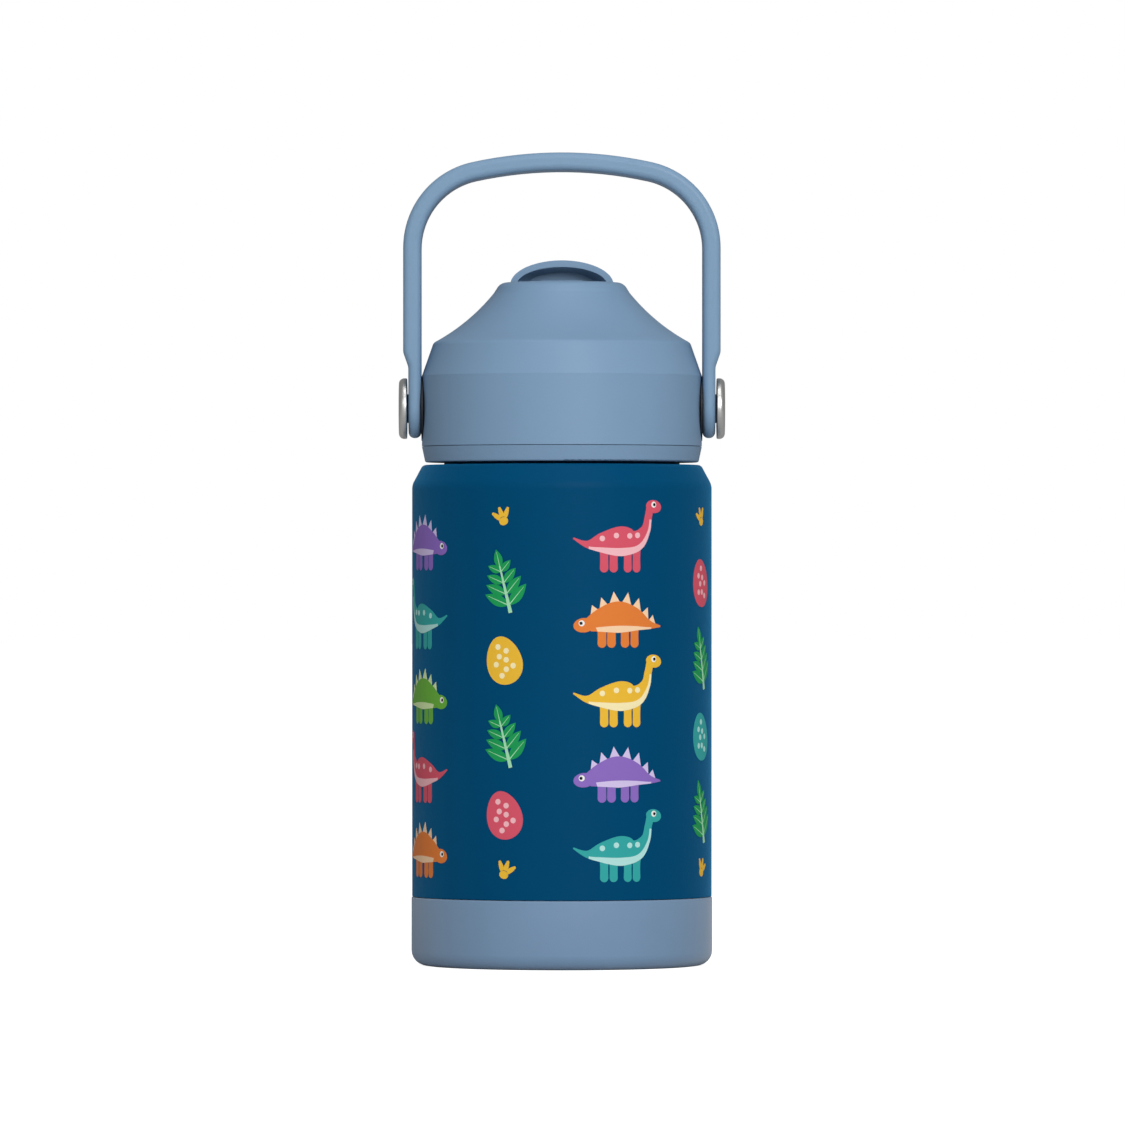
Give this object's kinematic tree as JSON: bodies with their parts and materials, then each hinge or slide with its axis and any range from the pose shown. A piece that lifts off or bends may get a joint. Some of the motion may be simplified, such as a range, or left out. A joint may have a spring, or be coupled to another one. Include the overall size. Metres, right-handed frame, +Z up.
{
  "type": "kids water bottle",
  "caption": "Children's insulated steel water bottle with a screw lid, bail handle, flip-up hooded straw mouthpiece and silicone boot.",
  "frame": {"origin": "centre of the foot, on the surface that the bottle stands on", "axes": "+Z up along the bottle; the handle pins lie along X; the hood of the mouthpiece opens towards -Y"},
  "size_m": [0.0794, 0.0732, 0.1978],
  "materials": {
    "painted_steel": "satin navy powder coat with a printed picture band",
    "bare_steel": "brushed stainless steel",
    "pin_steel": "turned stainless steel",
    "lid_plastic": "soft satin moulded plastic, slate blue",
    "handle_plastic": "soft satin moulded plastic, slate blue",
    "boot_silicone": "matte silicone, slate blue",
    "clear_silicone": "milky silicone",
    "straw_plastic": "milky extruded plastic",
    "dark_nylon": "dark nylon"
  },
  "bodies": {
    "bottle": {"outer_shell": "painted_steel", "inner_vessel": "bare_steel", "outer_base_cap": "bare_steel", "vacuum_getter": "bare_steel", "silicone_boot": "boot_silicone"},
    "seal": {"neck_gasket": "clear_silicone"},
    "lid": {"lid_shell": "lid_plastic", "threaded_core": "lid_plastic", "straw_stem": "lid_plastic", "stem_seal": "clear_silicone", "port_seal": "clear_silicone", "vent_valve": "clear_silicone", "drinking_straw": "straw_plastic", "left_handle_pin": "pin_steel", "right_handle_pin": "pin_steel", "left_pin_retainer": "pin_steel", "right_pin_retainer": "pin_steel"},
    "handle": {"carry_handle": "handle_plastic", "left_handle_bush": "dark_nylon", "right_handle_bush": "dark_nylon"},
    "mouthpiece": {"mouthpiece_hood": "lid_plastic", "bite_nozzle": "clear_silicone", "left_hinge_pin": "pin_steel", "right_hinge_pin": "pin_steel"}
  },
  "joints": [
    {"name": "lid_rise", "type": "slide", "parent": "bottle", "child": "seal", "axis": [0, 0, 1], "range_m": [0, 0.008]},
    {"name": "lid_turn", "type": "hinge", "parent": "seal", "child": "lid", "pos_m": [0, 0, 0.13], "axis": [0, 0, 1], "range_deg": [0, 720]},
    {"name": "handle_swing", "type": "hinge", "parent": "lid", "child": "handle", "pos_m": [0, 0, 0.1356], "axis": [1, 0, 0], "range_deg": [-125, 125]},
    {"name": "mouthpiece_flip", "type": "hinge", "parent": "lid", "child": "mouthpiece", "pos_m": [0, 0.0092, 0.1636], "axis": [-1, 0, 0], "range_deg": [0, 90]}
  ],
  "couplings": [
    {"joint": "lid_rise", "follows": "lid_turn", "m_per_rad": 0.00063662}
  ]
}
